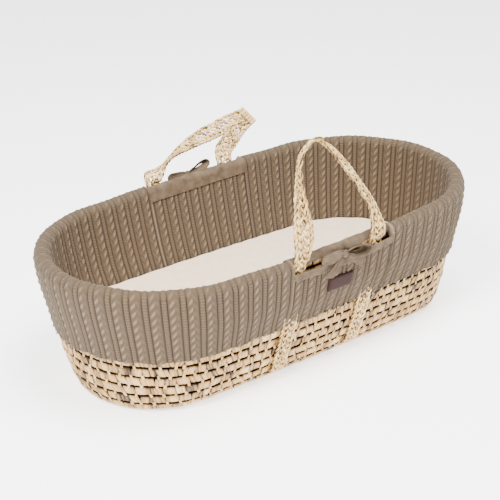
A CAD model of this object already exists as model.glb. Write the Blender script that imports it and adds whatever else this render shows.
"""Looks of a palm-leaf moses basket with a knitted dressing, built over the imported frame.

Metres, +Z up, +X towards the head end, -Y towards the front with the label.
A place on the basket's wall is given by three numbers: share, the way round the oval from 0 to 1,
starting at the head end and passing the rear first; the height z; and grow, the distance outside
the wicker's outer face.
"""

from math import cos, pi, radians, sin

import bpy
import numpy as np
from mathutils import Matrix, Vector


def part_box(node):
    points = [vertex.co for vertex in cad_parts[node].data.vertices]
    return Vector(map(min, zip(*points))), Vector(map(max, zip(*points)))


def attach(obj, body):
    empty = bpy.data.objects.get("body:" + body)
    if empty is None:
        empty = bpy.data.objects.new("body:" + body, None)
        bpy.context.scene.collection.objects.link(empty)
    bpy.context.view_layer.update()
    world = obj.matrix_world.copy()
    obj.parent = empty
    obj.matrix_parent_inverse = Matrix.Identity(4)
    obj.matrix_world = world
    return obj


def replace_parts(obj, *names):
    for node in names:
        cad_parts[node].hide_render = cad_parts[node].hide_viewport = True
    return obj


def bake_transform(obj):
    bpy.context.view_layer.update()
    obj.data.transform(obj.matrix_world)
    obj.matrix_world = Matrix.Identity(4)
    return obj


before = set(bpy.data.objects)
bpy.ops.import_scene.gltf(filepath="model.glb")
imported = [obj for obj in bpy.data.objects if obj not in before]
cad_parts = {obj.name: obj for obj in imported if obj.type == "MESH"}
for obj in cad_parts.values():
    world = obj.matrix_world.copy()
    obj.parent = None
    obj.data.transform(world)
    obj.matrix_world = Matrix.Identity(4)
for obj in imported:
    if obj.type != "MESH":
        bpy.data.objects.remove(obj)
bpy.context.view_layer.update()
random = np.random.default_rng(7)

# The wicker's shell, as in the CAD
RIM_HEIGHT = 0.2477
BASE_HALF_LENGTH, FLARE_LENGTH = 0.373, 0.0385
BASE_HALF_WIDTH, FLARE_WIDTH = 0.122, 0.087
BASE_END_RADIUS, FLARE_RADIUS = 0.140, 0.058
BASE_SHIFT = 0.022
FLARE_POWER = 0.47
ROW_PITCH = 0.0195
LEVEL_ROWS, TOTAL_ROWS = 6, 12
EDGE_HALF_LENGTH = 0.42  # where the rise and the bow of the rim and the hem are measured
RIM_RISE, RIM_BOW = 0.0119, 0.0056
WICKER_DROP = 0.005  # how far below the rim line the wicker stops

# The dressing
REPEAT = 0.0280  # one rib and one cable of the knit
CABLE_STITCH, LADDER_PITCH = 0.0145, 0.0052
PIPING_WIDTH, PIPING_HEIGHT = 0.0013, 0.0016
LINER_INNER = -0.0148
FLOOR_TOP = 0.0263
OUTER_TOP = 0.0100
ROLL = 0.0128  # radius of the padded roll over the rim
ROLL_MIDDLE = (LINER_INNER + OUTER_TOP) / 2
INNER_STEPS, ROLL_STEPS, OUTER_STEPS = 105, 24, 78
HEM_HEIGHT, HEM_RISE, HEM_BOW = 0.1205, 0.0103, -0.0020
HEM_GROW = 0.0042  # how far outside the wicker the gathered hem lies
SLOT_ENDS = {"front": (-0.1110, 0.1100), "rear": (-0.0980, 0.1230)}
SLOT_DEPTH = 0.021
SEAM_LAP = 0.001  # share by which cloth laps past the ends of a slot
TAPE_HEIGHT = 0.0105
LABEL_SIZE, LABEL_CENTRE = (0.056, 0.028), (-0.0035, 0.181)

# Straps and handles
STRAP_WIDTH = 0.034
HANDLE_APEX_WIDTH = 0.026
STRAP_X = {"strap_left": -0.086, "strap_right": 0.084}
STRAP_SLANT = 0.045
STRAP_GROW = 0.0030  # how far outside the wicker a strap's middle lies
STRAP_LEVELS = (0.240, 0.200, 0.150, 0.110, 0.075, 0.045, 0.022)
STRAND_STEP = 0.0026
HINGE_Y, HINGE_Z = 0.2117, 0.254
FRONT_LEAN, REAR_LEAN, CREASE_LEAN = -10, 50, 2.5
PLAIT_LAP = 0.062  # length in which one strand crosses the plait and comes back

# Centre lines of the handles in their leaning planes, in millimetres: along X, away from the hinge
FRONT_ARCH = [
    (-90, 0), (-84.5, 28), (-83, 60), (-83.5, 95), (-81, 130), (-71, 159),
    (-43, 176), (-25, 165), (-2, 144), (24, 111), (48, 75), (68, 40), (77, 0),
]
REAR_LONG_LEG = [
    (-75, 0), (-53, 14), (-31, 23.5), (-13.5, 31), (22, 43),
    (49, 51), (83, 58.5), (117, 64.5), (152, 71), (195, 76),
]
REAR_SHORT_LEG = [(198, 75), (162, 56), (140, 41), (117, 28), (100, 16), (91, 0)]
FRONT_TWISTS = [0, 30, 66, 96, 113, 119, 110, 68, 48, 40, 38, 30, 0]
LONG_LEG_TWISTS = [0, 56, 76, 70, 45, 26, 9, 0, -5, -8]
SHORT_LEG_TWISTS = [0, 14, 22, 20, 6, 0]
X_AXIS = np.array([1.0, 0.0, 0.0])


# ---------------- the shell

def edge_line(x, height, rise, bow):
    """Height of a line round the basket that climbs towards the head end and bows towards both ends."""
    u = x / EDGE_HALF_LENGTH
    return height + rise * u + bow * u**2


def rim(x):
    return edge_line(x, RIM_HEIGHT, RIM_RISE, RIM_BOW)


def hem(x):
    return edge_line(x, HEM_HEIGHT, HEM_RISE, HEM_BOW)


def oval(z):
    """The oval at height z: half length, half width, radius of the end arcs, radius of the side arcs,
    turn at which they meet, and shift along X."""
    flare = (np.clip(z, 0, None) / RIM_HEIGHT) ** FLARE_POWER
    length = BASE_HALF_LENGTH + FLARE_LENGTH * flare
    width = BASE_HALF_WIDTH + FLARE_WIDTH * flare
    radius = np.minimum(BASE_END_RADIUS + FLARE_RADIUS * flare, width - 0.004)
    side = ((length - radius) ** 2 + width**2 - radius**2) / (2 * (width - radius))
    turn = np.arctan2(side - width, length - radius)
    return length, width, radius, side, turn, BASE_SHIFT * (1 - flare)


def wall(share, z, grow=0.0):
    """Points of the wall, with a last axis of three. The arguments are arrays or numbers."""
    share, z, grow = np.broadcast_arrays(*(np.asarray(value, float) for value in (share, z, grow)))
    length, width, radius, side, turn, shift = oval(z)
    end_arc, side_arc = radius * turn, side * (pi - 2 * turn)
    run = (share % 1) * (4 * end_arc + 2 * side_arc)
    rear, foot = end_arc, end_arc + side_arc
    front, head = foot + 2 * end_arc, foot + 2 * end_arc + side_arc
    places = [run < rear, run < foot, run < front, run < head]
    angle = np.select(
        places,
        [
            run / radius, turn + (run - rear) / side,
            pi - turn + (run - foot) / radius, pi + turn + (run - front) / side,
        ],
        2 * pi - turn + (run - head) / radius,
    )
    nothing = np.zeros_like(run)
    centre_x = np.select(places, [length - radius, nothing, radius - length, nothing], length - radius)
    centre_y = np.select(places, [nothing, width - side, nothing, side - width], nothing)
    reach = np.select(places, [radius, side, radius, side], radius) + grow
    return np.stack([shift + centre_x + reach * np.cos(angle), centre_y + reach * np.sin(angle), z], axis=-1)


SHARES = np.linspace(0, 1, 4001)
RIM_LINE = wall(SHARES, RIM_HEIGHT)
PERIMETER = np.linalg.norm(np.diff(RIM_LINE, axis=0), axis=1).sum()
REPEATS = round(PERIMETER / REPEAT)


def share_at(x, side):
    """Share round the rim where a long side has that x."""
    low, high = (0.55, 0.95) if side == "front" else (0.05, 0.45)
    near = (SHARES > low) & (SHARES < high)
    order = np.argsort(RIM_LINE[near, 0])
    return float(np.interp(x, RIM_LINE[near, 0][order], SHARES[near][order]))


def slot_shares(side):
    """Shares where the slot of a long side starts and ends."""
    return sorted(share_at(x, side) for x in SLOT_ENDS[side])


def side_y(x, z, grow, side):
    """Y of a long side at x and z."""
    _, width, _, radius, _, shift = oval(z)
    y = np.sqrt((radius + grow) ** 2 - (x - shift) ** 2) - (radius - width)
    return -y if side == "front" else y


def pouch(z):
    """How far the dressing stands outside the wicker: it swells in the middle of its height."""
    low, height = 0.105, 0.170
    return 0.0096 + 0.0025 * np.sin(pi * (z - low) / height)


def ease(low, high, value):
    """0 at low, 1 at high, and smooth between. low may be the larger."""
    t = np.clip((value - low) / (high - low), 0, 1)
    return t * t * (3 - 2 * t)


def ripple(size, smoothness, amount, axis=0):
    """Smooth random numbers along one axis."""
    noise = random.normal(size=size)
    kernel = np.hanning(smoothness + 2)[1:-1]
    noise = np.apply_along_axis(lambda row: np.convolve(row, kernel / kernel.sum(), "same"), axis, noise)
    return noise / max(noise.std(), 1e-9) * amount


# ---------------- meshes

def add_object(name, data):
    made = bpy.data.objects.new(name, data)
    bpy.context.scene.collection.objects.link(made)
    return made


def pairs(u, v):
    """UV coordinates from an array for each axis."""
    return np.stack(np.broadcast_arrays(u, v), axis=-1)


def unit(vectors):
    return vectors / np.maximum(np.linalg.norm(vectors, axis=-1, keepdims=True), 1e-12)


def make_mesh(name, points, faces, body, material, uv=None, tone=None):
    """A mesh piece that rides on a body. uv is metres across and along, and tone is a number per point."""
    mesh = bpy.data.meshes.new(name)
    mesh.from_pydata(np.asarray(points).reshape(-1, 3).tolist(), [], faces.tolist())
    mesh.shade_smooth()
    if uv is not None:
        layer = mesh.uv_layers.new(name="UVMap")
        corners = np.zeros(len(mesh.loops), int)
        mesh.loops.foreach_get("vertex_index", corners)
        layer.data.foreach_set("uv", np.asarray(uv, np.float32).reshape(-1, 2)[corners].ravel())
    if tone is not None:
        attribute = mesh.attributes.new("tone", "FLOAT", "POINT")
        attribute.data.foreach_set("value", np.asarray(tone, np.float32).ravel())
    mesh.materials.append(material)
    piece = add_object(name, mesh)
    if body:
        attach(piece, body)
    return piece


def grid_faces(rows, columns, wrap=False):
    """Quads of a grid of points numbered row by row. wrap joins the last column to the first."""
    i, j = np.meshgrid(np.arange(rows - 1), np.arange(columns if wrap else columns - 1), indexing="ij")
    here, right = i * columns + j, i * columns + (j + 1) % columns
    return np.stack([here, here + columns, right + columns, right], axis=-1).reshape(-1, 4)


def many_grids(count, rows, columns, wrap=False):
    """Quads of several grids of one size, numbered one grid after the other."""
    one = grid_faces(rows, columns, wrap)
    return (one[None] + (np.arange(count) * rows * columns)[:, None, None]).reshape(-1, 4)


def grid_normals(points):
    """Unit normals of a grid of points, from its rows and columns."""
    return unit(np.cross(np.gradient(points, axis=0), np.gradient(points, axis=1)))


def along(points, axis=0):
    """Distance from the first point along one axis of a grid."""
    step = np.linalg.norm(np.diff(points, axis=axis), axis=-1)
    start = np.zeros_like(np.take(step, [0], axis=axis))
    return np.cumsum(np.concatenate([start, step], axis=axis), axis=axis)


def smooth_line(points, step):
    """A Catmull-Rom line through the points, at about that step."""
    points = np.asarray(points, float)
    padded = np.vstack([2 * points[0] - points[1], points, 2 * points[-1] - points[-2]])
    line = []
    for a, b, c, d in zip(padded, padded[1:], padded[2:], padded[3:]):
        count = max(int(np.linalg.norm((c - b)[:3]) / step), 1)
        t = (np.arange(count) / count)[:, None]
        cubic = 3 * b - a - 3 * c + d
        line.append(0.5 * (2 * b + (c - a) * t + (2 * a - 5 * b + 4 * c - d) * t**2 + cubic * t**3))
    return np.vstack([*line, points[-1:]])


# ---------------- materials

def colour(red, green, blue):
    """Linear colour from an sRGB one, 0 to 255."""
    return [((c / 255 + 0.055) / 1.055) ** 2.4 for c in (red, green, blue)] + [1.0]


class Shader:
    """A material's nodes, with short calls that add one and link it."""

    def __init__(self, name, rough, sheen=0.0, shine=0.25):
        self.material = bpy.data.materials.new(name)
        self.material.use_nodes = True
        self.tree = self.material.node_tree
        self.surface = self.tree.nodes["Principled BSDF"]
        looks = {"Roughness": rough, "Specular IOR Level": shine, "Sheen Weight": sheen, "Sheen Roughness": 0.5}
        for key, value in looks.items():
            self.surface.inputs[key].default_value = value

    def feed(self, socket, value):
        """Link a socket to another, or set it to a plain value."""
        if isinstance(value, bpy.types.NodeSocket):
            self.tree.links.new(value, socket)
        else:
            socket.default_value = value

    def node(self, kind, **inputs):
        made = self.tree.nodes.new("ShaderNode" + kind)
        for key, value in inputs.items():
            self.feed(made.inputs[key], value)
        return made

    def coordinates(self, source="UV", scale=(1, 1, 1)):
        """Texture coordinates from UV or Object, stretched by a scale for each axis."""
        place = self.node("TexCoord").outputs[source]
        return self.node("Mapping", Vector=place, Scale=scale).outputs["Vector"]

    def noise(self, vector, scale, detail=3.0):
        return self.node("TexNoise", Vector=vector, Scale=scale, Detail=detail).outputs["Fac"]

    def wave(self, vector, scale, distortion, direction):
        made = self.node("TexWave", Vector=vector, Scale=scale, Distortion=distortion)
        made.bands_direction = direction
        return made.outputs["Fac"]

    def cells(self, source, scale):
        """Distance from the middle of each of many small cells."""
        place = self.coordinates(source)
        return self.node("TexVoronoi", Vector=place, Scale=scale).outputs["Distance"]

    def tone(self):
        made = self.node("Attribute")
        made.attribute_name = "tone"
        return made.outputs["Fac"]

    def maths(self, operation, *values):
        made = self.node("Math")
        made.operation = operation
        for socket, value in zip(made.inputs, values):
            self.feed(socket, value)
        return made.outputs[0]

    def ramp(self, factor, stops):
        """Colours along a factor. stops are pairs of a place from 0 to 1 and an sRGB colour."""
        made = self.node("ValToRGB", Fac=factor)
        elements = made.color_ramp.elements
        while len(elements) < len(stops):
            elements.new(0.5)
        for element, (place, value) in zip(elements, stops):
            element.position = place
            element.color = colour(*value)
        return made.outputs["Color"]

    def finish(self, base, height, depth, strength=1.0):
        self.tree.links.new(base, self.surface.inputs["Base Color"])
        bump = self.node("Bump", Height=height, Distance=depth, Strength=strength)
        self.tree.links.new(bump.outputs["Normal"], self.surface.inputs["Normal"])
        return self.material


def palm_material(name, dark, middle, light):
    """Dry leaf strips: fibres run along V, and tone sets how pale a strip is."""
    made = Shader(name, rough=0.55)
    fibre = made.noise(made.coordinates("UV", (1400, 90, 1)), 1.0)
    patch = made.noise(made.coordinates("UV", (160, 40, 1)), 1.0)
    grain = made.maths("MULTIPLY_ADD", fibre, 0.50, -0.25)
    mottle = made.maths("MULTIPLY_ADD", patch, 0.44, -0.22)
    level = made.maths("ADD", made.maths("ADD", made.tone(), grain), mottle)
    base = made.ramp(level, [(0.0, dark), (0.42, middle), (1.0, light)])
    return made.finish(base, fibre, 0.0006, 0.6)


def knit_material():
    """Cotton knit: little V stitches over the relief, which is real geometry and darker in its grooves."""
    made = Shader("Cable_knit", rough=0.95, sheen=0.08, shine=0.1)
    stitches = made.wave(made.coordinates(), 72, 1.2, "X")
    rows = made.wave(made.coordinates(), 88, 2.0, "Y")
    fuzz = made.noise(made.coordinates("UV", (900, 900, 900)), 1.0)
    height = made.maths("ADD", made.maths("MULTIPLY", stitches, rows), fuzz)
    level = made.maths("ADD", made.tone(), made.maths("MULTIPLY_ADD", fuzz, 0.22, -0.11))
    base = made.ramp(level, [(0.0, (38, 29, 20)), (0.5, (93, 78, 61)), (1.0, (140, 121, 99))])
    return made.finish(base, height, 0.0007, 0.7)


def cloth_material(name, dark, light, thread, sheen):
    """Plain weave of two crossing sets of threads, thread metres apart."""
    made = Shader(name, rough=0.9, sheen=sheen, shine=0.1)
    place, scale = made.coordinates(), 0.32 / thread
    weave = made.maths("ADD", made.wave(place, scale, 0.6, "X"), made.wave(place, scale, 0.6, "Y"))
    cloud = made.noise(made.coordinates("UV", (60, 60, 60)), 1.0)
    level = made.maths("ADD", cloud, made.maths("MULTIPLY", weave, 0.08))
    base = made.ramp(level, [(0.3, dark), (0.75, light)])
    return made.finish(base, weave, 0.0003, 0.6)


def leatherette_material():
    made = Shader("Label_leatherette", rough=0.6, shine=0.12)
    pebble = made.cells("UV", 900.0)
    cloud = made.noise(made.coordinates("UV", (120, 120, 120)), 1.0)
    base = made.ramp(cloud, [(0.3, (33, 8, 3)), (0.75, (42, 12, 5))])
    return made.finish(base, pebble, 0.0004, 0.5)


def foam_material():
    made = Shader("Foam", rough=0.95)
    cells = made.cells("Object", 420.0)
    base = made.ramp(cells, [(0.0, (214, 208, 192)), (0.6, (238, 234, 222))])
    return made.finish(base, cells, 0.0012, 0.8)


PALM = palm_material("Palm_leaf", (46, 27, 10), (178, 138, 84), (226, 196, 140))
PLAIT = palm_material("Palm_plait", (58, 36, 14), (186, 148, 90), (234, 206, 150))
KNIT = knit_material()
TAPE = cloth_material("Plain_tape", (66, 53, 40), (104, 87, 69), 0.0012, 0.06)
JERSEY = cloth_material("Cotton_jersey", (224, 200, 170), (232, 210, 182), 0.0011, 0.04)
ELASTIC = cloth_material("Elastic", (214, 211, 205), (234, 232, 228), 0.0016, 0.0)
LEATHERETTE = leatherette_material()
FOAM = foam_material()


# ---------------- wicker

SECTION = np.array([  # height in a row from 0 at its top to 1 at its bottom, and depth behind the face
    (0.100, 0.0090), (0.085, 0.0052), (0.100, 0.0022), (0.16, 0.0007), (0.28, 0.0001), (0.42, 0.0),
    (0.58, 0.0), (0.72, 0.0001), (0.84, 0.0007), (0.900, 0.0022), (0.915, 0.0052), (0.900, 0.0090),
])
ACROSS = np.linspace(0, 1, 9)


def fold_profile(count):
    """Depth of a wrap's creases across its width, one row of numbers for each wrap."""
    crease = random.uniform(0.25, 0.75, (count, 1))
    apart = random.choice([-1, 1], (count, 1)) * random.uniform(0.2, 0.35, (count, 1))
    second = np.clip(crease + apart, 0.1, 0.9)
    x = ACROSS[None]
    depth = 0.0016 * np.exp(-(((x - crease) / 0.07) ** 2)) + 0.0011 * np.exp(-(((x - second) / 0.06) ** 2))
    tilt = (x - 0.5) * random.uniform(-0.0010, 0.0010, (count, 1))
    edges = 0.0013 * np.abs(2 * x - 1) ** 5
    return depth + edges + tilt


def make_wraps(name, place, length, width, node=None):
    """Strips of leaf wrapped round one coil. place(shares, heights, grow) gives points on the coil."""
    count = round(length / width)
    shifts = np.concatenate([[0], random.uniform(-0.16, 0.16, count - 1), [0]])
    bounds = (np.arange(count + 1) + shifts) / count
    start, end = bounds[:-1, None, None], bounds[1:, None, None]
    gap = 0.02 * (end - start)
    slant = random.normal(0, 0.20, (count, 1, 1)) / count
    heights = np.broadcast_to(SECTION[None, :, :1], (count, len(SECTION), len(ACROSS)))
    shares = start + gap + (end - start - 2 * gap) * ACROSS[None, None] + slant * (heights - 0.5)
    squeeze = random.uniform(-0.03, 0.03, (count, 1, 1)) * (1 - 4 * (heights - 0.5) ** 2)
    wobble = random.normal(0, 0.0004, (count, 1, 1))
    folds = fold_profile(count)[:, None, :] * (1 - np.abs(2 * heights - 1) ** 6)
    behind = SECTION[None, :, 1:]
    grow = wobble - behind - folds
    points = place(shares, np.clip(heights + squeeze * 0.3, 0, 1), grow)
    tone = np.broadcast_to(random.normal(0.56, 0.14, (count, 1, 1)), heights.shape)
    tone = tone - 0.9 * np.clip(behind / 0.0045, 0, 1) - folds * 260
    offset = random.uniform(0, 5, (count, 1, 1))
    uv = pairs(offset + ACROSS[None, None] * width, offset + heights * ROW_PITCH)
    piece = make_mesh(name, points, many_grids(count, len(SECTION), len(ACROSS)), "basket", PALM, uv, tone)
    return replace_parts(piece, node or name.lower()), bounds


def row_place(row):
    """Places the wraps of a wall row, which is level low on the wall and follows the rim higher up."""
    def place(shares, heights, grow):
        x = wall(shares, ROW_PITCH * row)[..., 0]
        top = rim(x) - WICKER_DROP
        step = (top - LEVEL_ROWS * ROW_PITCH) / (TOTAL_ROWS - LEVEL_ROWS)
        raised = LEVEL_ROWS * ROW_PITCH + (row - LEVEL_ROWS) * step
        high = ROW_PITCH * row if row <= LEVEL_ROWS else raised
        z = high - heights * (ROW_PITCH if row <= LEVEL_ROWS else step)
        return wall(shares, z, grow)
    return place


def make_bridges(name, row, bounds, parent):
    """Narrow strips of leaf that stitch a row to the one under it, over the dark slits."""
    count = len(bounds) - 1
    middle = bounds[:-1, None, None] + random.normal(0, 0.05, (count, 1, 1)) / count
    reach, rows, columns = 0.24, 9, 5  # a stitch reaches 0.24 of a row to either side of the slit
    down = np.linspace(-reach, reach, rows)[None, :, None]
    half = random.uniform(0.0018, 0.0030, (count, 1, 1)) / PERIMETER
    across = np.linspace(-1, 1, columns)[None, None]
    lean = random.normal(0, 0.04, (count, 1, 1)) / count
    shares = middle + half * across + lean * down * 4
    ends, waist = 0.0022 * (np.abs(down) / reach) ** 3, 0.0012 * np.exp(-((down / 0.06) ** 2))
    grow = 0.0002 - 0.0007 * across**2 - ends - waist
    points = row_place(row)(shares, 1 + np.broadcast_to(down, shares.shape), grow)
    tone = np.broadcast_to(random.normal(0.60, 0.10, (count, 1, 1)), shares.shape)
    uv = pairs(middle * 9 + across * 0.003, down * ROW_PITCH)
    piece = make_mesh(name, points, many_grids(count, rows, columns), "basket", PALM, uv, tone)
    piece.parent = parent
    return piece


def make_wall_rows():
    bounds = None
    for row in range(1, TOTAL_ROWS):
        length = np.linalg.norm(np.diff(wall(SHARES, ROW_PITCH * row), axis=0), axis=1).sum()
        width = 0.0205 if row > 1 else 0.0165
        piece, bounds = make_wraps(f"Wall_row_{row:02}", row_place(row), length, width)
        if row > 1:
            make_bridges(f"Stitches_{row:02}", row, bounds, piece)


def strap_lift(x, y):
    """Height of the base's weave over the floor, which rises to let the straps pass under it."""
    lift = np.zeros_like(x)
    for middle in STRAP_X.values():
        lift = np.maximum(lift, 1 - ease(0.0175, 0.024, np.abs(x - middle - STRAP_SLANT * y)))
    return 0.0042 * lift


def make_base():
    """Flat oval of coils, one inside the other."""
    for ring in range(6):
        def place(shares, heights, grow, ring=ring):
            inward = -(ring + heights) * ROW_PITCH - 0.0005
            flat = wall(shares, np.zeros_like(shares), np.maximum(inward, -0.1175))
            flat[..., 2] = np.maximum(0.0006 - grow, 0) + strap_lift(flat[..., 0], flat[..., 1])
            return flat
        middle = wall(SHARES, 0.0, -(ring + 0.5) * ROW_PITCH)
        length = np.linalg.norm(np.diff(middle, axis=0), axis=1).sum()
        make_wraps(f"Base_ring_{ring + 1}", place, length, 0.021, "base_panel")


# ---------------- knit

def knit_relief(repeat, down):
    """Height of the knit in metres. repeat counts ribs and cables, and down is metres along a column."""
    x = (repeat % 1) * REPEAT
    groove_places, groove_width, ladder_middle, cable_middle = (0.0018, 0.0112), 0.0011, 0.0065, 0.0200
    grooves = sum(np.exp(-(((x - place) / groove_width) ** 2)) for place in groove_places)
    ladder = np.clip(1 - ((x - ladder_middle) / 0.0040) ** 4, 0, 1)
    rungs = 0.5 + 0.5 * np.cos(2 * pi * down / LADDER_PITCH)
    column = ladder * (0.0014 * rungs - 0.0002) - 0.0017 * grooves
    q = (x - cable_middle) / 0.0077
    body = np.clip(1 - np.abs(q) ** 3, 0, 1)
    left = (down / CABLE_STITCH + 0.62 * np.clip(q, -1, 0.2)) % 1
    right = (down / CABLE_STITCH - 0.55 * q + 0.45) % 1
    phase = np.where(q < 0.1, left, right)
    leaf = np.sin(pi * phase**0.6) ** 3.0
    tall = np.where(q < 0.1, 1.0 - 0.5 * np.abs(q + 0.35), 0.30)
    return column + body * (0.0026 * leaf * tall - 0.0002)


def drape(share, z, amount):
    """Long soft waves of the skirt, stronger towards its hem."""
    falling = 1 - ease(0.12, 0.24, z)
    waves = sum(np.sin(2 * pi * k * share + k * k) / k**0.5 for k in (9, 13, 22, 31))
    return amount * (0.25 + 0.75 * falling) * waves


def add_column(grid, column, edge):
    """The grid with one more column, after its last when edge is -1 and before its first when it is 0."""
    return np.concatenate([grid, column] if edge else [column, grid], axis=1)


def knit_piece(name, low, high, route, seams=()):
    """A knit panel between two shares of the way round. route(share, x) gives height and grow down it.
    At a seam the panel ends at a slot, so its roll over the rim is closed there and its edge is piped."""
    columns = max(int((high - low) * REPEATS * 20), 8)
    share = np.linspace(low, high, columns)[None]
    x = wall(share, RIM_HEIGHT)[..., 0]
    z, grow = route(share, x)
    share = np.broadcast_to(share, z.shape)
    points = wall(share, z, grow)
    down = along(points)
    pressed = 1 - 0.5 * ease(0.014, 0.002, rim(x) - z)
    height = knit_relief(share * REPEATS, down) * pressed
    piping = sum(np.exp(-(((share - seam) * PERIMETER / PIPING_WIDTH) ** 2)) for seam in seams) + 0 * share
    height = height * (1 - np.clip(piping, 0, 1)) + PIPING_HEIGHT * piping
    points = points + grid_normals(points) * height[..., None]
    tone = 0.34 + 0.40 * np.clip(height / 0.0020, -0.9, 1.3) + 0.10 * piping
    uv = np.stack([share * REPEATS * REPEAT, down], axis=-1)
    for seam in seams:
        edge = -1 if seam == high else 0
        last = points[:, edge]
        middle = wall(seam, np.minimum(z[:, edge], rim(x[0, edge]) - ROLL), ROLL_MIDDLE)
        near_rim = ease(0.030, 0.018, rim(x[0, edge]) - z[:, edge])[:, None]
        for amount in (0.5, 1.0):
            closing = (last + (middle - last) * amount * near_rim)[:, None]
            points = add_column(points, closing, edge)
            tone = add_column(tone, tone[:, [edge]], edge)
            uv = add_column(uv, uv[:, [edge]], edge)
    piece = make_mesh(name, points, grid_faces(*points.shape[:2]), "basket", KNIT, uv, tone)
    flat = ((high - low) * PERIMETER, float(along(wall(share, z, grow)).max()))
    return piece


def inner_route(share, x, top):
    """Up the inner wall, from the floor to top below the rim."""
    z = np.linspace(FLOOR_TOP * np.ones_like(x), rim(x) - top, INNER_STEPS)[:, 0]
    return z, np.full_like(z, LINER_INNER)


def roll_route(share, x):
    turn = np.linspace(pi, 0, ROLL_STEPS)[1:-1, None]
    half = (OUTER_TOP - LINER_INNER) / 2
    sag = 0.0007 * np.sin(2 * pi * 17 * share) * np.sin(turn)
    return rim(x) - ROLL + ROLL * np.sin(turn) + sag, ROLL_MIDDLE + half * np.cos(turn) + 0 * x


def outer_route(share, x, top):
    """Down the outside, from top below the rim to the hem, which is gathered in by its elastic."""
    drop = np.linspace(0, 1, OUTER_STEPS)[:, None]
    start = rim(x) - top
    wave = 0.0012 * np.sin(2 * pi * 41 * share) + 0.0010 * np.sin(2 * pi * 27 * share + 1)
    z = start + (hem(x) + wave - start) * drop
    gather = ease(0.50 - 0.45 * ease(0.20, 0.40, np.abs(x)), 1.0, drop)
    grow = pouch(z) * (1 - gather) + HEM_GROW * gather + drape(share, z, 0.0006)
    tuck = np.linspace(0, 1, 5)[1:, None]
    tuck_z = z[-1:] + 0.004 * np.sin(pi * tuck / 2) ** 2 - 0.0012 * np.sin(pi * tuck)
    tuck_grow = grow[-1:] - 0.0036 * tuck
    return np.vstack([z, tuck_z]), np.vstack([grow, tuck_grow])


def whole_route(share, x):
    """The inner wall, the roll over the rim and the outside, as one column."""
    parts = [inner_route(share, x, ROLL), roll_route(share, x), outer_route(share, x, ROLL)]
    return np.vstack([z for z, _ in parts]), np.vstack([grow for _, grow in parts])


def make_knit():
    front, rear = slot_shares("front"), slot_shares("rear")
    foot_middle, head_middle = 0.5, 1.0
    panels = [
        ("Skirt_foot_rear", rear[1], foot_middle, ["skirt_foot_end", "liner_wall"], rear[1:]),
        ("Skirt_foot_front", foot_middle, front[0], ["skirt_foot_end"], front[:1]),
        ("Skirt_head_front", front[1], head_middle, ["skirt_head_end"], front[1:]),
        ("Skirt_head_rear", head_middle, 1 + rear[0], ["skirt_head_end"], [1 + rear[0]]),
    ]
    for name, low, high, nodes, seams in panels:
        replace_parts(knit_piece(name, low, high, whole_route, seams), *nodes)
    for side, (low, high) in (("front", front), ("rear", rear)):
        def inner(share, x):
            return inner_route(share, x, SLOT_DEPTH)

        def outer(share, x, side=side):
            return outer_route(share, x, slot_sag(share, x, side))

        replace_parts(knit_piece(f"Liner_{side}", low - SEAM_LAP, high + SEAM_LAP, inner), "liner_wall")
        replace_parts(knit_piece(f"Skirt_{side}_panel", low, high, outer), f"skirt_{side}_panel")


def slot_sag(share, x, side):
    """How far below the rim the skirt's edge hangs in a slot, lower between the straps."""
    low, high = SLOT_ENDS[side]
    across = np.clip((x - low) / (high - low), 0, 1)
    return SLOT_DEPTH + 0.003 + 0.004 * np.sin(pi * across) - 0.003 * across


# ---------------- plaited straps and handles

def strand(points, face, half_width, half_thickness, sides=8):
    """A flattened tube along the points, whose broad side looks along face."""
    tangent = unit(np.gradient(points, axis=0))
    side = unit(np.cross(tangent, face))
    face = np.cross(side, tangent)
    angle = np.arange(sides) * 2 * pi / sides
    broad = np.sign(np.cos(angle)) * np.abs(np.cos(angle)) ** 0.7

    def offset(direction, shape, half):
        return direction[:, None] * shape[None, :, None] * np.broadcast_to(half, len(points))[:, None, None]

    return points[:, None] + offset(side, broad, half_width) + offset(face, np.sin(angle), half_thickness)


def plait_strands(line, across, width):
    """Strands of a flat strap, each with how far it lies over the others, from -1 to 1 along it:
    an open plait in the middle with a rolled cord along each edge."""
    normal = unit(np.cross(np.gradient(line, axis=0), across))
    distance = along(line)
    tubes = []
    for edge in (-1, 1):
        for turn in (0, pi):
            angle = 2 * pi * distance / 0.020 + turn
            offset = across * (edge * (width / 2 - 0.0034) + 0.0014 * np.cos(angle))[:, None]
            centre = line + offset + normal * (0.0013 * np.sin(angle))[:, None]
            size = 0.0022 * (1 + ripple(len(line), 9, 0.10))
            tubes.append((strand(centre, normal, size, size * 0.62), np.sin(angle)))
    strands = 5
    for number in range(strands):
        angle = 2 * pi * (distance / PLAIT_LAP + number / strands)
        sway = (width / 2 - 0.0085) * np.sin(angle) + ripple(len(line), 11, 0.0005)
        over = np.sin((strands - 1) * angle)
        centre = line + across * sway[:, None] + normal * (0.0020 * over)[:, None]
        size = 0.0024 * (1 + ripple(len(line), 7, 0.18))
        tubes.append((strand(centre, normal, size, 0.0012 + 0 * size), over))
    return tubes


def make_band(name, line, across, width, body):
    tubes, overs = zip(*plait_strands(line, across, width))
    rows, sides = tubes[0].shape[:2]
    around = np.arange(sides) * 2 * pi / sides
    distance = along(line)
    uv, tone = [], []
    for number, over in enumerate(overs):
        u = np.arange(sides)[None] * 0.0012 + number * 0.05
        uv.append(pairs(u, distance[:, None] + number * 0.3))
        lift = over[:, None] * np.sin(around)[None]
        pale = random.normal(0.56, 0.10) + ripple(rows, 9, 0.16)
        edges = 0.42 * np.abs(np.cos(around))[None] ** 3
        tone.append(pale[:, None] + 0.36 * np.clip(lift, -1, 0.4) - edges)
    faces = many_grids(len(tubes), rows, sides, wrap=True)
    return make_mesh(name, np.array(tubes), faces, body, PLAIT, np.array(uv), np.array(tone))


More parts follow.
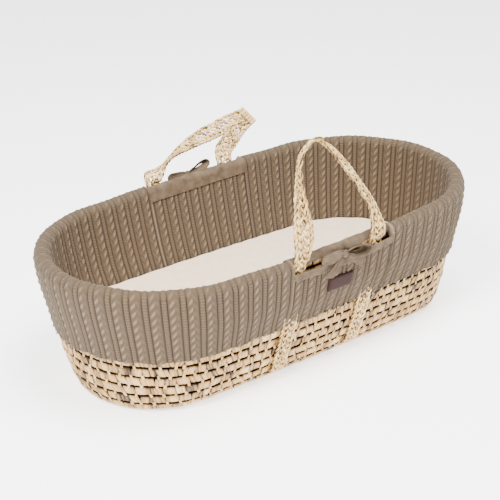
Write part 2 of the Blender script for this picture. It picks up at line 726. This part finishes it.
def strap_place(x, z, side):
    y = side_y(x, z, STRAP_GROW, side)
    return np.array([x + STRAP_SLANT * y, y, z])


def make_strap(node, x):
    """From the hinge down the front, under the base and up the rear."""
    down = [strap_place(x, z, "front") for z in STRAP_LEVELS]
    corner = 0.1225
    under = [np.array([x + STRAP_SLANT * y, y, z]) for y, z in (
        (-corner, 0.0075), (-corner + 0.006, 0.0034), (-0.095, 0.0030), (-0.04, 0.0030),
        (0.04, 0.0030), (0.095, 0.0030), (corner - 0.006, 0.0034), (corner, 0.0075),
    )]
    up = [strap_place(x, z, "rear") for z in reversed(STRAP_LEVELS)]
    line = smooth_line([*down, *under, *up], STRAND_STEP)
    widths = np.full(len(line), STRAP_WIDTH - 0.002)
    across = np.broadcast_to(X_AXIS, line.shape)
    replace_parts(make_band(node.capitalize(), line, across, widths, "basket"), node)


def leaning(side, lean):
    """Hinge point, direction away from the hinge and normal of a handle's plane."""
    outward = -1 if side == "front" else 1
    up = np.array([0, outward * sin(radians(lean)), cos(radians(lean))])
    return np.array([0, outward * HINGE_Y, HINGE_Z]), up, np.cross(X_AXIS, up)


def leg_root(x, side):
    """Where a leg joins its strap on the wall, under the hinge."""
    z = 0.238
    return np.array([x, side_y(x, z, STRAP_GROW, side), z])


def band_line(side, lean, points, twists, widths, roots):
    """Line, broad direction and width of a handle's band, with a root at either end where roots says so."""
    hinge, up, normal = leaning(side, lean)
    path = [hinge + X_AXIS * x / 1000 + up * h / 1000 for x, h in points]
    rows = [[*p, radians(t), w] for p, t, w in zip(path, twists, widths)]
    if roots[0]:
        rows.insert(0, [*leg_root(path[0][0], side), radians(twists[0]), widths[0]])
    if roots[1]:
        rows.append([*leg_root(path[-1][0], side), radians(twists[-1]), widths[-1]])
    dense = smooth_line(rows, STRAND_STEP)
    line, twist, width = dense[:, :3], dense[:, 3:4], dense[:, 4]
    flat = unit(np.cross(np.gradient(line, axis=0), normal))
    return line, flat * np.cos(twist) + normal * np.sin(twist), width


def handle_band(name, side, lean, points, twists, widths, roots):
    """One band of a handle, whose strands bend at the hinge."""
    band = band_line(side, lean, points, twists, widths, roots)
    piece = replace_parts(make_band(name, *band, None), f"handle_{side}")
    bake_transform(piece)


def make_handles():
    top = max(h for _, h in FRONT_ARCH)
    narrowing = [STRAP_WIDTH - (STRAP_WIDTH - HANDLE_APEX_WIDTH) * h / top for _, h in FRONT_ARCH]
    handle_band("Handle_front", "front", FRONT_LEAN, FRONT_ARCH, FRONT_TWISTS, narrowing, (True, True))
    for leg, lean, points, twists, roots in (
        ("long", REAR_LEAN, REAR_LONG_LEG, LONG_LEG_TWISTS, (True, False)),
        ("short", REAR_LEAN + CREASE_LEAN, REAR_SHORT_LEG, SHORT_LEG_TWISTS, (False, True)),
    ):
        even = [STRAP_WIDTH] * len(points)
        handle_band(f"Handle_rear_{leg}_leg", "rear", lean, points, twists, even, roots)
    make_crease()


def make_crease():
    """Leaf strips folded over at the rear handle's creased top, from one leg to the other."""
    hinge, up, normal = leaning("rear", REAR_LEAN)
    out, broad = X_AXIS * 0.93 + up * 0.37, up * 0.93 - X_AXIS * 0.37
    angle = np.linspace(-0.5 * pi, 0.5 * pi, 9)
    tubes, count, sides = [], 6, 8
    for number in range(count):
        share = number / (count - 1) - 0.5
        middle = hinge + X_AXIS * (0.1970 - 0.010 * share) + up * (0.0755 + 0.030 * share)
        bend = middle + out * (0.0058 * np.cos(angle))[:, None] + normal * (0.0042 * np.sin(angle))[:, None]
        before = bend[0] - out * 0.012 + normal * 0.0008
        after = bend[-1] - out * 0.012 - normal * 0.0008
        path = smooth_line([before, *bend[::2], after], 0.002)
        tubes.append(strand(path, np.cross(np.gradient(path, axis=0), broad), 0.0030, 0.0011, sides))
    rows = min(len(tube) for tube in tubes)
    points = np.array([tube[:rows] for tube in tubes])
    tone = np.broadcast_to(random.normal(0.55, 0.08, (count, 1, 1)), points.shape[:3])
    uv = pairs(np.arange(sides) * 0.001 + 0 * tone, np.arange(rows)[:, None] * 0.002)
    faces = many_grids(count, rows, sides, wrap=True)
    piece = make_mesh("Handle_rear_crease", points, faces, None, PLAIT, uv, tone)
    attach(piece, "handle_rear")


# ---------------- plain cloth pieces

def swept(name, share, z, grow):
    """A strip of tape along the wall, from grids of height and grow."""
    points = wall(share, z, grow)
    uv = pairs(share * PERIMETER, along(points))
    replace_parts(make_mesh(name, points, grid_faces(*z.shape), "basket", TAPE, uv), name.lower())


def make_facing(side):
    """Plain strip sewn inside the slot and turned over the wicker's rim."""
    low, high = slot_shares(side)
    share = np.linspace(low - SEAM_LAP, high + SEAM_LAP, 150)[None]
    top = rim(wall(share, RIM_HEIGHT)[..., 0])
    crumple = 0.0006 * np.sin(2 * pi * 37 * share) + 0.0005 * np.sin(2 * pi * 83 * share + 2)
    half, middle = 0.0088, -0.0078
    turn = np.linspace(pi, 0, 16)[:, None]
    inner_z = np.linspace(top - SLOT_DEPTH - 0.004, top - half, 10)[:-1, 0]
    roll_z = top - half + half * np.sin(turn) + crumple * np.sin(turn)
    roll_grow = middle + half * np.cos(turn) + 0 * share
    fall = np.linspace(0, 1, 8)[1:, None]
    outer_z = top - half - (0.0065 + crumple * 2) * fall
    outer_grow = middle + half + 0.0008 * np.sin(pi * fall) + 2 * crumple * fall + 0 * share
    under = np.linspace(0, 1, 5)[1:, None]
    z = np.vstack([inner_z, roll_z, outer_z, outer_z[-1:] + 0.0016 * under])
    inner_grow = np.full_like(inner_z, LINER_INNER - 0.0018)
    grow = np.vstack([inner_grow, roll_grow, outer_grow, outer_grow[-1:] - 0.0045 * under])
    swept(f"Facing_{side}", share, z, grow)


def make_binding(side):
    """Tape folded over the skirt's edge in the slot."""
    share = np.linspace(*slot_shares(side), 160)[None]
    x = wall(share, RIM_HEIGHT)[..., 0]
    top = rim(x) - slot_sag(share, x, side) + 0.0012
    crumple = 0.0005 * np.sin(2 * pi * 61 * share + 1) + 0.0004 * np.sin(2 * pi * 97 * share)
    edge = pouch(top) + 0.0022
    down = np.linspace(1, 0, 9)[:, None]
    turn = np.linspace(0, pi, 9)[1:-1, None]
    thick = 0.0020
    swell = 0.0010 * np.sin(pi * down) ** 0.8
    hemmed = np.vstack([edge - 0.0020 + 0 * down[:1], edge + swell + crumple * down])
    z_out = top - TAPE_HEIGHT * down
    z = np.vstack([z_out[:1] + 0.0004, z_out, top + thick * np.sin(turn), top - 0.008 * (1 - down)[1:]])
    inside = edge - 2 * thick + 0 * down[1:]
    grow = np.vstack([hemmed, edge - thick + thick * np.cos(turn) + 0 * share, inside])
    swept(f"Binding_{side}", share, z, grow)


def make_label():
    """Blank patch with rounded corners and turned edges."""
    rows, columns = 22, 40
    across, up = np.linspace(-1, 1, columns)[None], np.linspace(1, -1, rows)[:, None]
    corner = np.clip(np.abs(across) ** 14 + np.abs(up) ** 9, 0, 1)
    half_length, half_height = LABEL_SIZE[0] / 2, LABEL_SIZE[1] / 2
    x = LABEL_CENTRE[0] + half_length * across * (1 - 0.012 * np.abs(up) ** 8)
    z = LABEL_CENTRE[1] + half_height * up * (1 - 0.03 * np.abs(across) ** 8)
    inset, thread = 0.0024, 0.0005  # of the line of stitches
    stitch = np.exp(-(((1 - np.abs(across)) * half_length - inset) / thread) ** 2)
    stitch = np.maximum(stitch, np.exp(-(((1 - np.abs(up)) * half_height - inset) / thread) ** 2))
    grow = pouch(z) + 0.0036 - 0.0022 * corner - 0.00035 * stitch
    points = np.stack([x, side_y(x, z, grow, "front"), z], axis=-1)
    piece = make_mesh("Label_patch", points, grid_faces(rows, columns), "basket", LEATHERETTE, pairs(x, z))
    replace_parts(piece, "label_patch")


class Bow:
    """Ribbons in a bow's own directions, in millimetres: to the right, up and outward of its knot."""

    def __init__(self, side):
        low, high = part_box(f"bow_knot_{side}")
        outward = -1 if side == "front" else 1
        self.centre = np.array((low + high) / 2) + np.array([0, outward * 0.0015, 0])
        self.axes = np.array([[-outward, 0, 0], [0, 0, 1], [0, outward, 0]], float) / 1000

    def place(self, points):
        return self.centre + np.asarray(points, float) @ self.axes

    def ribbon(self, name, rows):
        """rows hold a point, half of the ribbon's width and how far its width leans outward, in degrees.
        A tail ends in a slanting cut."""
        dense = smooth_line(rows, 1.2)
        line, half, lean = dense[:, :3], dense[:, 3], np.radians(dense[:, 4])
        upright = np.array([0, 0, 1.0])
        forward = unit(np.gradient(line, axis=0))
        flat = unit(np.cross(upright, forward))
        wide = flat * np.cos(lean)[:, None] + upright * np.sin(lean)[:, None]
        face = np.cross(forward, wide)
        columns, thickness, cut_length = 13, 0.7, 9
        across = np.linspace(-1, 1, columns)
        distance = along(line)
        pinch = np.exp(-distance / 9)
        ridges = np.sin(across[None] * 5.5 + 1) * (0.25 + 1.1 * pinch[:, None])
        ridges = ridges + 0.35 * np.sin(distance / 4)[:, None]
        points = line[:, None] + wide[:, None] * (half[:, None] * across[None])[..., None]
        points = points + face[:, None] * ridges[..., None]
        if name.endswith("tail"):
            near_end = np.clip((distance - distance[-1] + cut_length) / cut_length, 0, 1)
            cut = near_end[:, None] * (across[None] + 1) / 2
            points = points - forward[:, None] * (cut * cut_length)[..., None]
        back = points - face[:, None] * thickness
        loop = np.concatenate([points, back[:, ::-1]], axis=1)
        uv = pairs(np.arange(2 * columns)[None] * 0.0012, distance[:, None] / 1000)
        faces = grid_faces(*loop.shape[:2], wrap=True)
        piece = make_mesh(name, self.place(loop), faces, "basket", TAPE, uv)
        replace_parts(piece, name.rsplit("_", 1)[0].lower())


RIBBONS = {
    "front": {
        "left_loop": [
            (0, 0, 2, 3, 10), (-9, 3, 5, 5.5, 15), (-24, 4, 8, 8, 20), (-38, 2, 9, 8.5, 20),
            (-44, 0, 5, 8.5, 15), (-36, -2, 1, 8, 10), (-18, -2, 1, 6, 10), (-2, -1, 1, 3, 10),
        ],
        "left_tail": [
            (-1, -1, 2, 3, 0), (-8, -8, 4, 5.5, 0), (-18, -19, 4, 7.5, 5), (-30, -32, 2.5, 8, 0),
            (-36, -38, 2, 8, 0),
        ],
        "right_loop": [
            (0, 0, 2, 3, 40), (8, 5, 5, 6, 55), (24, 9, 8, 8, 62), (40, 7, 9, 8, 66),
            (48, 0, 7, 8, 66), (38, -6, 6, 8, 60), (20, -6, 4, 6.5, 50), (3, -1, 2, 3, 40),
        ],
        "right_tail": [
            (1, -1, 2, 3, 0), (10, -7, 5, 6, 5), (24, -15, 5, 7.5, 10), (38, -24, 4, 8, 5),
            (45, -29, 3, 8, 0),
        ],
    },
    "rear": {
        "left_loop": [
            (0, 0, 2, 3, 40), (-10, 5, 4, 5, 40), (-26, 11, 6, 6.5, 40), (-41, 15, 7, 7, 40),
            (-47, 10, 6, 7, 40), (-38, 5, 4, 6, 40), (-16, 1, 3, 4.5, 40), (-2, 0, 2, 3, 40),
        ],
        "left_tail": [(-1, -1, 2, 3, 0), (-9, -9, 3, 6, 0), (-19, -21, 3, 7.5, 5), (-27, -32, 2.5, 8, 0)],
        "right_loop": [
            (0, 0, 2, 3, 10), (9, 1, 5, 5, 15), (22, 0, 7, 6.5, 20), (33, -1, 8, 7, 20),
            (37, -3, 5, 7, 15), (29, -5, 1, 6.5, 10), (13, -4, 1, 5, 10), (2, 0, 1, 3, 10),
        ],
        "right_tail": [(1, -1, 2, 3, 0), (9, -9, 4, 6, 0), (19, -20, 4, 7.5, 5), (26, -31, 3, 8, 0)],
    },
}


def make_bow(side):
    bow = Bow(side)
    for name, rows in RIBBONS[side].items():
        bow.ribbon(f"Tie_{side}_{name}", rows)
    make_knot(bow, side)


def make_knot(bow, side):
    """The tight turn of tape over the middle of a bow: a rounded form with a few pressed folds."""
    rows, columns = 18, 28
    tilt = np.linspace(0.02, pi - 0.02, rows)[:, None]
    turn = np.linspace(0, 2 * pi, columns, endpoint=False)[None]
    folds = 1 + 0.10 * np.cos(5 * turn + 2 * tilt) * np.sin(tilt)
    shape = np.stack([
        6.0 * np.sin(tilt) * np.cos(turn) * folds,
        6.6 * np.cos(tilt) + 0 * turn,
        4.2 * np.sin(tilt) * np.sin(turn) * folds + 3.0,
    ], axis=-1)
    faces = grid_faces(rows, columns, wrap=True)
    piece = make_mesh(f"Bow_knot_{side}", bow.place(shape), faces, "basket", TAPE, shape[..., :2] / 1000)
    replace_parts(piece, f"bow_knot_{side}")


# ---------------- mattress and floor

def cushion_points(stations, columns=420):
    """A closed form on the basket's plan. stations are pairs of height and grow, from one middle to the
    other. The innermost stations close on the centre line."""
    share = np.linspace(0, 1, columns, endpoint=False)[None]
    z, grow = np.array(stations)[:, :1], np.array(stations)[:, 1:]
    points = wall(share, np.clip(z, FLOOR_TOP, None), grow)
    points[..., 2] = z
    points[grow[:, 0] == grow.min(), :, 1] = 0
    return points


def make_cushion(name, points, body, material):
    faces = grid_faces(*points.shape[:2], wrap=True)
    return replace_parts(make_mesh(name, points, faces, body, material, points[..., :2]), name.lower())


def make_mattress():
    low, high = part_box("mattress_sheet")
    edge, middle = LINER_INNER - 0.0018, -0.1650
    top, bottom, rounding, crown = high.z - 0.0018, low.z + 0.0002, 0.008, 0.0018
    lower_rounding, turned_in = 0.006, 0.045
    top_steps, under_steps = 48, 12
    stations = []
    for t in np.linspace(0, 1, top_steps):
        stations.append((top + crown * (1 - t**2.4), middle + (edge - rounding - middle) * t))
    for angle in np.linspace(0, pi / 2, 9)[1:]:
        stations.append((top - rounding * (1 - cos(angle)), edge - rounding * (1 - sin(angle))))
    for t in np.linspace(0, 1, 16)[1:]:
        z = top - rounding + (bottom + lower_rounding - top + rounding) * t
        stations.append((z, edge + 0.0008 * sin(pi * t)))
    for angle in np.linspace(0, pi / 2, 6)[1:]:
        z = bottom + lower_rounding * (1 - sin(angle))
        stations.append((z, edge - lower_rounding * (1 - cos(angle))))
    for t in np.linspace(0, 1, under_steps)[1:]:
        stations.append((bottom + 0.0006 * t, edge - lower_rounding - turned_in * t))
    points = cushion_points(stations)
    distance = along(points)
    turn = np.linspace(0, 2 * pi, points.shape[1], endpoint=False)[None]
    near_edge = np.exp(-(((distance - distance[[top_steps]]) / 0.035) ** 2))
    pulls = 0.0005 * np.sin(46 * turn + 3 * np.sin(5 * turn)) * near_edge
    gathers = 0.0009 * np.sin(90 * turn) * ease(0.0, 0.05, distance - distance[[-under_steps]])
    points[..., 2] += pulls + gathers * 0.4
    make_cushion("Mattress_sheet", points, "mattress", JERSEY)
    core_low = low.z + 0.0014
    core = [(core_low, edge - 0.035 + (middle - edge + 0.035) * t) for t in np.linspace(0, 1, 30)]
    make_cushion("Mattress_core", cushion_points(core), "mattress", FOAM)
    share = np.linspace(0, 1, 600, endpoint=False)
    ring = wall(share, FLOOR_TOP, edge - 0.0505)
    ring[:, 2] = low.z + 0.0012
    make_ring("Sheet_elastic", ring, 0.0010, "mattress")


def make_ring(name, line, radius, body):
    """A closed round cord."""
    upright, sides = np.array([0, 0, 1.0]), 8
    side = unit(np.cross(unit(np.roll(line, -1, axis=0) - np.roll(line, 1, axis=0)), upright))
    angle = np.arange(sides)[None, :, None] * 2 * pi / sides
    points = line[:, None] + radius * (side[:, None] * np.cos(angle) + upright * np.sin(angle))
    points = np.concatenate([points, points[:1]])
    uv = pairs(np.arange(len(points))[:, None] * 0.002, np.arange(sides) * 0.001)
    faces = grid_faces(len(points), sides, wrap=True)
    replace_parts(make_mesh(name, points, faces, body, ELASTIC, uv), name.lower())


def make_hem_elastic():
    share = np.linspace(0, 1, 900, endpoint=False)
    x = wall(share, RIM_HEIGHT)[:, 0]
    make_ring("Hem_elastic", wall(share, hem(x) + 0.0085, 0.0016), 0.0008, "basket")


def make_floor_pad():
    """Padded floor of the liner, quilted in lines across."""
    low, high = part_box("liner_floor")
    edge, middle, rounding = LINER_INNER + 0.002, -0.1350, 0.0045
    top, bottom, top_steps = high.z - 0.0012, low.z + 0.0002, 44
    stations = [(top, middle + (edge - rounding - middle) * t) for t in np.linspace(0, 1, top_steps)]
    half = (top - bottom) / 2
    for angle in np.linspace(0, pi, 11)[1:-1]:
        stations.append((bottom + half * (1 + cos(angle)), edge - rounding * (1 - sin(angle))))
    stations += [(bottom, edge - rounding + (middle - edge + rounding) * t) for t in np.linspace(0, 1, 24)]
    points = cushion_points(stations)
    channel = np.abs(np.sin(pi * points[..., 0] / 0.06)) ** 0.4
    upper = (np.arange(len(stations)) < top_steps)[:, None] * ease(0.0, 0.03, along(points[::-1])[::-1])
    points[..., 2] += 0.0011 * (channel - 1) * upper
    make_cushion("Liner_floor", points, "basket", TAPE)


# ---------------- camera and stage

CAMERA_TARGET = (-0.0166, 0.0177, 0.1291)
CAMERA_AZIMUTH, CAMERA_ELEVATION, CAMERA_ROLL = -39.83, 24.63, 0.13
CAMERA_DISTANCE = 2.336


def make_camera():
    data = bpy.data.cameras.new("Camera")
    data.lens = 94.82
    data.sensor_width = 36
    data.shift_x, data.shift_y = 0.0088, 0.0345
    camera = add_object("Camera", data)
    turn, rise = radians(CAMERA_AZIMUTH), radians(CAMERA_ELEVATION)
    back = Vector((sin(turn) * cos(rise), -cos(turn) * cos(rise), sin(rise)))
    camera.rotation_mode = "QUATERNION"
    roll = Matrix.Rotation(radians(CAMERA_ROLL), 4, "Z").to_quaternion()
    camera.rotation_quaternion = (-back).to_track_quat("-Z", "Y") @ roll
    camera.location = Vector(CAMERA_TARGET) + back * CAMERA_DISTANCE
    bpy.context.scene.camera = camera


def add_light(name, place, target, size, power):
    data = bpy.data.lights.new(name, "AREA")
    data.shape = "DISK"
    data.size = size
    data.energy = power
    light = add_object(name, data)
    light.location = place
    light.rotation_mode = "QUATERNION"
    light.rotation_quaternion = (Vector(target) - Vector(place)).to_track_quat("-Z", "Y")


def make_stage():
    size = 12
    mesh = bpy.data.meshes.new("Floor")
    corners = [(-size, -size, 0), (size, -size, 0), (size, size, 0), (-size, size, 0)]
    mesh.from_pydata(corners, [], [(0, 1, 2, 3)])
    floor = add_object("Floor", mesh)
    made = Shader("Floor_paper", rough=0.9)
    mottle = made.noise(made.coordinates("Object"), 3.0)
    base = made.ramp(mottle, [(0.0, (250, 250, 250)), (1.0, (254, 254, 254))])
    made.surface.inputs["Emission Color"].default_value = (1.0, 1.0, 1.0, 1.0)
    made.surface.inputs["Emission Strength"].default_value = 2.0
    mesh.materials.append(made.finish(base, mottle, 0.0001))
    world = bpy.data.worlds.new("Studio")
    world.use_nodes = True
    background = world.node_tree.nodes["Background"].inputs
    background["Color"].default_value = (1.0, 1.0, 1.0, 1.0)
    background["Strength"].default_value = 0.65
    bpy.context.scene.world = world
    add_light("Key", (-2.1, -0.9, 2.6), (0, 0, 0.1), 1.0, 240)
    add_light("Top", (0.1, -0.9, 3.0), (0, 0, 0.1), 1.8, 230)


make_wall_rows()
make_wraps("Rim_coil", row_place(TOTAL_ROWS), PERIMETER, 0.019)
make_base()
make_knit()
make_hem_elastic()
for node, x in STRAP_X.items():
    make_strap(node, x)
make_handles()
for side in ("front", "rear"):
    make_facing(side)
    make_binding(side)
make_bow("front")
make_bow("rear")
make_label()
make_mattress()
make_floor_pad()
make_camera()
make_stage()
